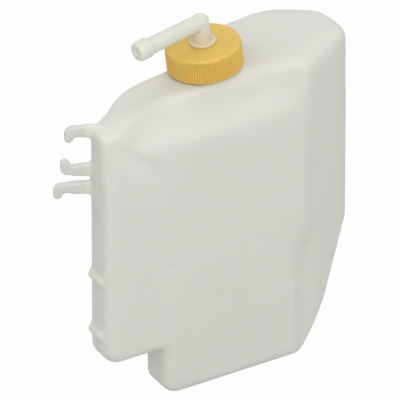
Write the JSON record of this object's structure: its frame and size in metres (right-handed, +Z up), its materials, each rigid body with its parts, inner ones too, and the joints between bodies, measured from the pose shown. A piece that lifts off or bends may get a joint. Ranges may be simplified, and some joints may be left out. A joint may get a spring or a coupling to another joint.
{
  "type": "coolant expansion tank",
  "caption": "Wedge-shaped translucent coolant tank with a knurled screw cap, a swivelling hose elbow, hose hooks and level ribs",
  "frame": {"origin": "on the flat floor of the lower block, which the tank stands on, below the neck's region", "axes": "+Z up, front wall facing -Y, hose hooks towards -X"},
  "size_m": [0.2395, 0.0887, 0.2837],
  "materials": {
    "tank_plastic": "milky translucent natural plastic, satin",
    "cap_plastic": "yellow moulded plastic, satin",
    "seal_rubber": "black rubber, matt",
    "elbow_plastic": "white moulded plastic, satin",
    "tube_rubber": "dark soft hose, matt"
  },
  "bodies": {
    "tank": {"tank_body": "tank_plastic"},
    "seal": {"cap_seal": "seal_rubber"},
    "screw_cap": {"cap": "cap_plastic"},
    "elbow": {"hose_elbow": "elbow_plastic", "elbow_retainer": "elbow_plastic", "dip_tube": "tube_rubber"}
  },
  "joints": [
    {"name": "cap_lift", "type": "slide", "parent": "tank", "child": "seal", "axis": [-0.0731, 0.0626, 0.9954], "range_m": [0, 0.009]},
    {"name": "cap_turn", "type": "hinge", "parent": "seal", "child": "screw_cap", "pos_m": [0.003, 0.012, 0.24], "axis": [-0.0731, 0.0626, 0.9954], "range_deg": [0, 540]},
    {"name": "elbow_swivel", "type": "hinge", "parent": "seal", "child": "elbow", "pos_m": [0.003, 0.012, 0.24], "axis": [-0.0731, 0.0626, 0.9954], "continuous": true}
  ],
  "couplings": [
    {"joint": "cap_lift", "follows": "cap_turn", "m_per_rad": 0.00095493}
  ]
}
